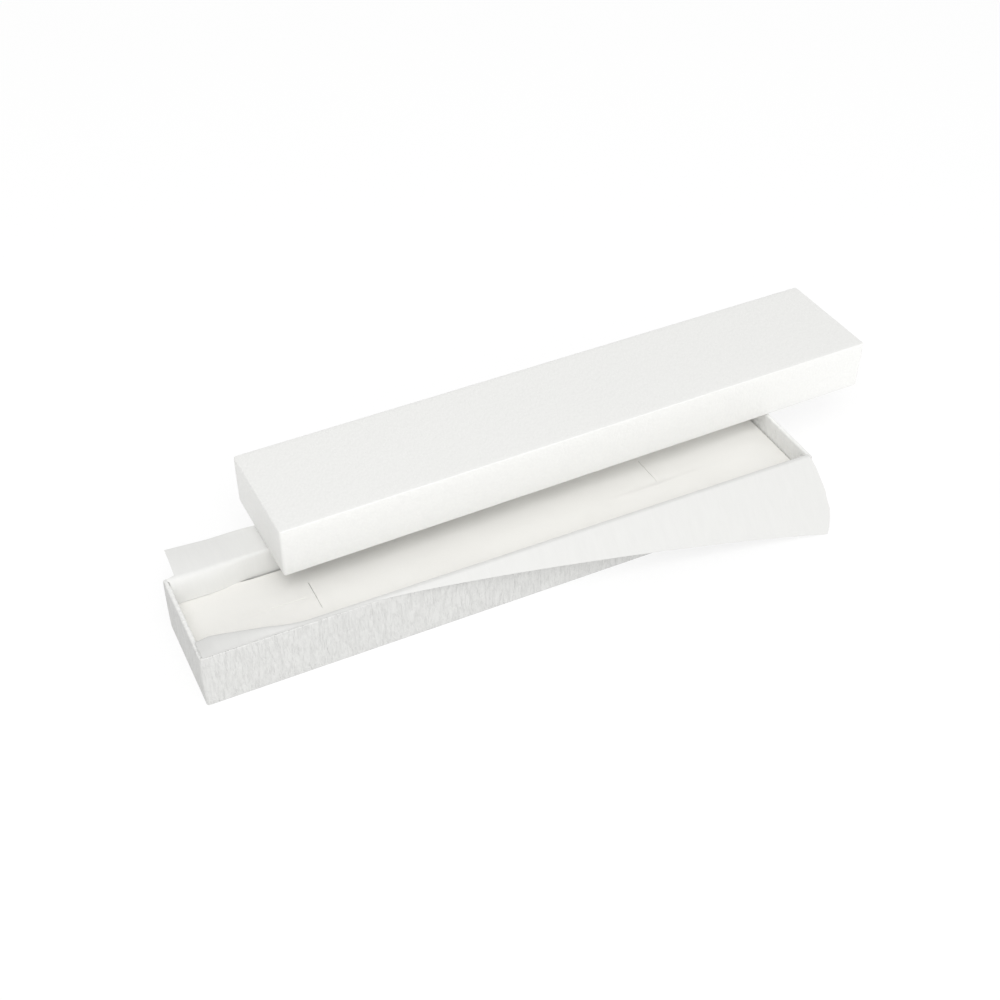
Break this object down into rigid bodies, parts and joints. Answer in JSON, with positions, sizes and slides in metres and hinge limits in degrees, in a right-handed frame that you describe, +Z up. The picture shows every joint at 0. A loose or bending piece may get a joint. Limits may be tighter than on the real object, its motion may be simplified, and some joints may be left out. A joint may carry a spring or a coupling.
{
  "type": "jewelry gift box",
  "caption": "Long slim lift-off-lid jewelry gift box in textured white paper, lid lying askew on the base, with a slit insert pad and a loose paper leaf.",
  "frame": {"origin": "centre of the base's underside, on the surface it rests on", "axes": "+X along the box to the right, +Y to the back, +Z up"},
  "size_m": [0.2635, 0.0892, 0.0406],
  "materials": {
    "wrap_paper": "matte",
    "grey_board": "matte",
    "stay_tape": "matte",
    "lining_paper": "matte",
    "flock": "matte",
    "foam": "matte",
    "leaf_paper": "matte"
  },
  "bodies": {
    "base": {"base_wrap": "wrap_paper", "base_board": "grey_board", "base_lining": "lining_paper", "base_stay_front_left": "stay_tape", "base_stay_front_right": "stay_tape", "base_stay_back_left": "stay_tape", "base_stay_back_right": "stay_tape", "leaf_bed": "leaf_paper"},
    "pad": {"pad_cover": "flock", "pad_foam": "foam"},
    "lid": {"lid_wrap": "wrap_paper", "lid_board": "grey_board", "lid_lining": "lining_paper", "lid_stay_front_left": "stay_tape", "lid_stay_front_right": "stay_tape", "lid_stay_back_left": "stay_tape", "lid_stay_back_right": "stay_tape"},
    "leaf_front": {"leaf_front_flap": "leaf_paper"},
    "leaf_back": {"leaf_back_flap": "leaf_paper"}
  },
  "joints": [
    {"name": "pad_lift", "type": "slide", "parent": "base", "child": "pad", "axis": [0, 0, 1], "range_m": [0, 0.03]},
    {"name": "lid_lift", "type": "slide", "parent": "pad", "child": "lid", "axis": [-0.5742, -0.4178, 0.7041], "range_m": [0, 0.0639]},
    {"name": "leaf_front_fold", "type": "hinge", "parent": "base", "child": "leaf_front", "pos_m": [0, -0.0197, 0.0214], "axis": [-1, 0, 0], "range_deg": [0, 137]},
    {"name": "leaf_back_fold", "type": "hinge", "parent": "base", "child": "leaf_back", "pos_m": [0, 0.0197, 0.0214], "axis": [-1, 0, 0], "range_deg": [0, 85]}
  ]
}
